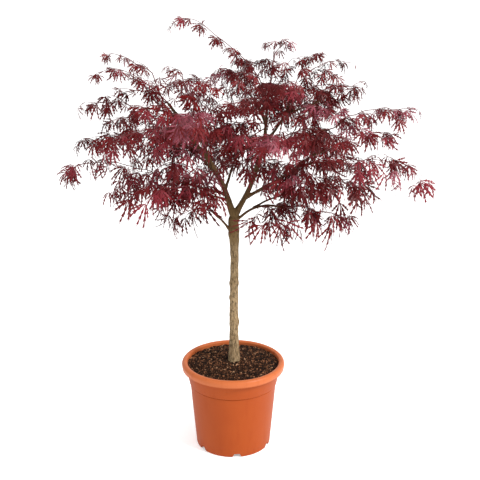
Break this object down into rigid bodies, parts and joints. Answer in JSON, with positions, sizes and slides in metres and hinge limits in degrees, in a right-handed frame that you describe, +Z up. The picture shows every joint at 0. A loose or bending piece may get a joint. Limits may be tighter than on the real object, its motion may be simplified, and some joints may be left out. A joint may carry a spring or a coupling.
{
  "type": "potted japanese maple",
  "caption": "Young weeping maple with finely cut purple-red leaves on a straight clear stem, growing in a round terracotta-coloured nursery pot.",
  "frame": {"origin": "centre of the pot's flat underside, on the surface that the pot stands on", "axes": "+Z up along the stem, +X to the plant's right as seen from its front, +Y to its back"},
  "size_m": [1.0021, 0.7883, 1.2246],
  "materials": {
    "terracotta_plastic": "satin moulded plastic, terracotta orange",
    "compost": "loose, dark brown bark and peat",
    "bark": "grey-brown stem bark, reddish brown on the boughs",
    "leaves": "thin purple-red leaves with a soft sheen"
  },
  "bodies": {
    "root": {"pot": "terracotta_plastic", "compost": "compost", "trunk": "bark", "bough_left": "bark", "bough_right": "bark", "bough_left_top": "bark", "bough_leader": "bark", "bough_low_left": "bark", "bough_low_right": "bark", "bough_right_side": "bark", "bough_right_low": "bark", "bough_right_far": "bark", "bough_right_mid": "bark", "bough_right_upper": "bark", "bough_right_top": "bark", "bough_right_high": "bark", "bough_left_low": "bark", "bough_left_front_low": "bark", "bough_left_mid": "bark", "bough_left_high": "bark", "bough_left_inner": "bark", "bough_front_left": "bark", "bough_front_right": "bark", "bough_front_low": "bark", "bough_front_top": "bark", "bough_back_mid": "bark", "bough_back_left": "bark", "bough_back_right": "bark", "bough_back_low": "bark", "bough_back_top": "bark", "foliage_left_top": "leaves", "foliage_left_shoulder": "leaves", "foliage_left_high": "leaves", "foliage_left_mid": "leaves", "foliage_left_low": "leaves", "foliage_left_front_low": "leaves", "foliage_low_left": "leaves", "foliage_left_inner": "leaves", "foliage_crown_tip": "leaves", "foliage_crown_centre": "leaves", "foliage_right_top": "leaves", "foliage_right_high": "leaves", "foliage_right_upper": "leaves", "foliage_right_mid": "leaves", "foliage_right_far": "leaves", "foliage_right_side": "leaves", "foliage_right_low": "leaves", "foliage_low_front": "leaves", "foliage_front_left": "leaves", "foliage_front_centre_left": "leaves", "foliage_front_centre_right": "leaves", "foliage_front_right": "leaves", "foliage_front_top": "leaves", "foliage_front_low_left": "leaves", "foliage_front_low_right": "leaves", "foliage_back_centre": "leaves", "foliage_back_left": "leaves", "foliage_back_right": "leaves", "foliage_back_low": "leaves", "foliage_back_top": "leaves"}
  },
  "joints": []
}
